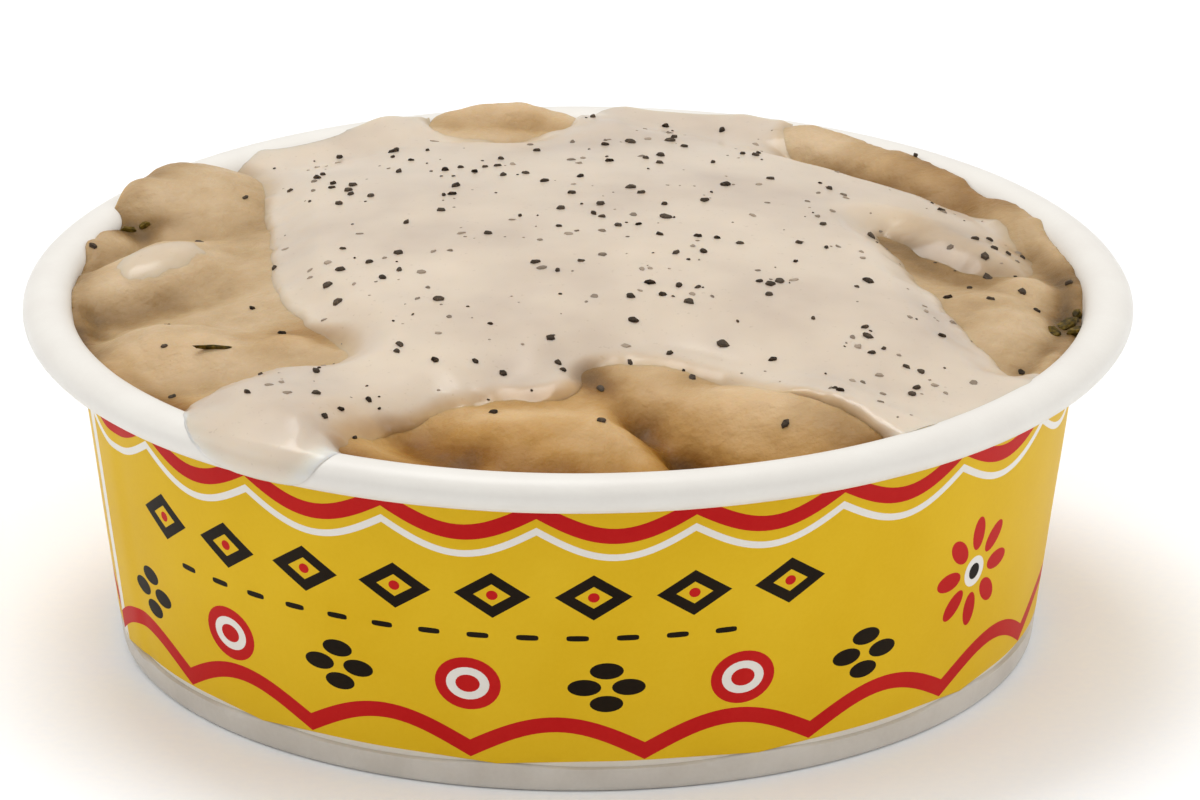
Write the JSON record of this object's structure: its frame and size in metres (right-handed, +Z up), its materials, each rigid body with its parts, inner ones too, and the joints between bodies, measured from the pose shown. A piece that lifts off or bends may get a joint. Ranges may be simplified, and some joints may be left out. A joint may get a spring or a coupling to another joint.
{
  "type": "mashed potato side in a paper tub",
  "caption": "Squat round paper tub with a rolled rim, heaped with folded mashed potato under a blanket of peppered cream gravy that runs over the rim at one side.",
  "frame": {"origin": "centre of the tub's foot ring, on the surface that the tub stands on", "axes": "+Z up out of the tub's mouth, -Y towards the side where the mash shows in front of the gravy, +X to its right"},
  "size_m": [0.1158, 0.1158, 0.0433],
  "materials": {
    "printed_board": "coated paperboard, printed outside, white inside, at the rim and at the foot",
    "coated_board": "white coated paperboard, satin",
    "mashed_potato": "moist buttery mashed potato, soft satin, slightly translucent",
    "cream_gravy": "thick cream gravy, wet gloss, slightly translucent"
  },
  "bodies": {
    "root": {"tub_wall": "printed_board", "tub_base": "coated_board", "mash": "mashed_potato", "gravy": "cream_gravy", "gravy_puddle": "cream_gravy"}
  },
  "joints": []
}
